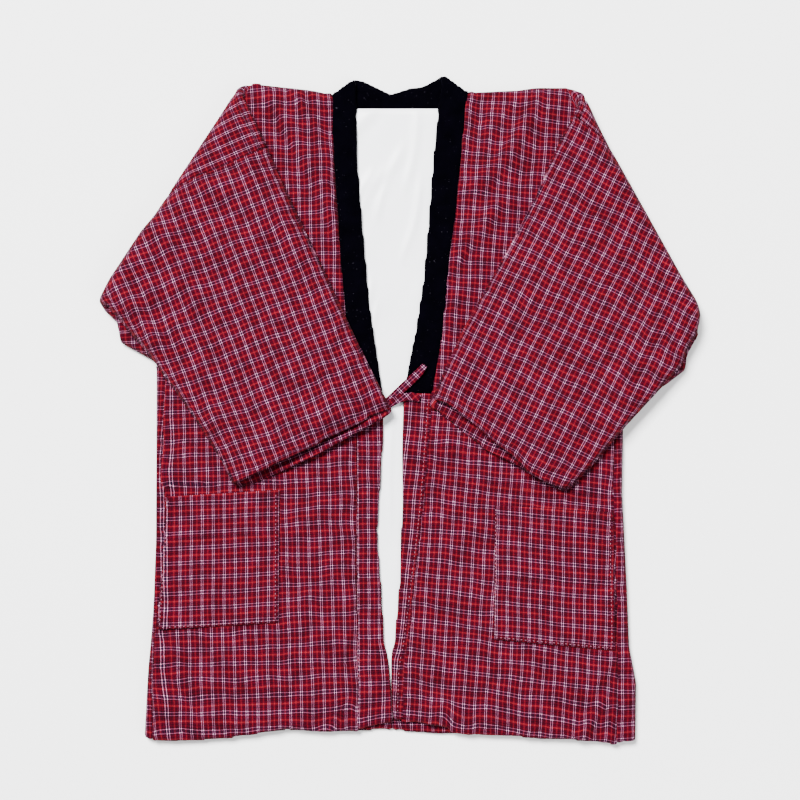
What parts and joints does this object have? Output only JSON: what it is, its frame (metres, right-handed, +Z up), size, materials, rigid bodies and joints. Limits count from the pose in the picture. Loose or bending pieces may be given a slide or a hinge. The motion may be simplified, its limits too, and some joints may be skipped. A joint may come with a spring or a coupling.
{
  "type": "hanten jacket",
  "caption": "Padded hanten jacket laid flat, plaid cloth with a black velvet collar, sleeves folded over the fronts, patch pockets and ties.",
  "frame": {"origin": "on the floor under the middle of the laid garment", "axes": "+Z up from the floor, +Y from the hem to the collar, +X towards the wearer's left side"},
  "size_m": [0.7704, 0.847, 0.0412],
  "materials": {
    "plaid": "woven cotton, red ground with fine white and navy check lines, padded",
    "velvet": "black cotton velvet, short nap",
    "lining": "smooth white satin lining"
  },
  "bodies": {
    "root": {"back_right": "plaid", "front_right": "plaid", "sleeve_right": "plaid", "gusset_right": "plaid", "collar_right": "velvet", "band_right": "plaid", "pocket_right": "plaid", "tie_right": "plaid", "back_left": "plaid", "front_left": "plaid", "sleeve_left": "plaid", "gusset_left": "plaid", "collar_left": "velvet", "band_left": "plaid", "pocket_left": "plaid", "tie_left": "plaid", "collar_back": "velvet", "back_lining": "lining"}
  },
  "joints": []
}
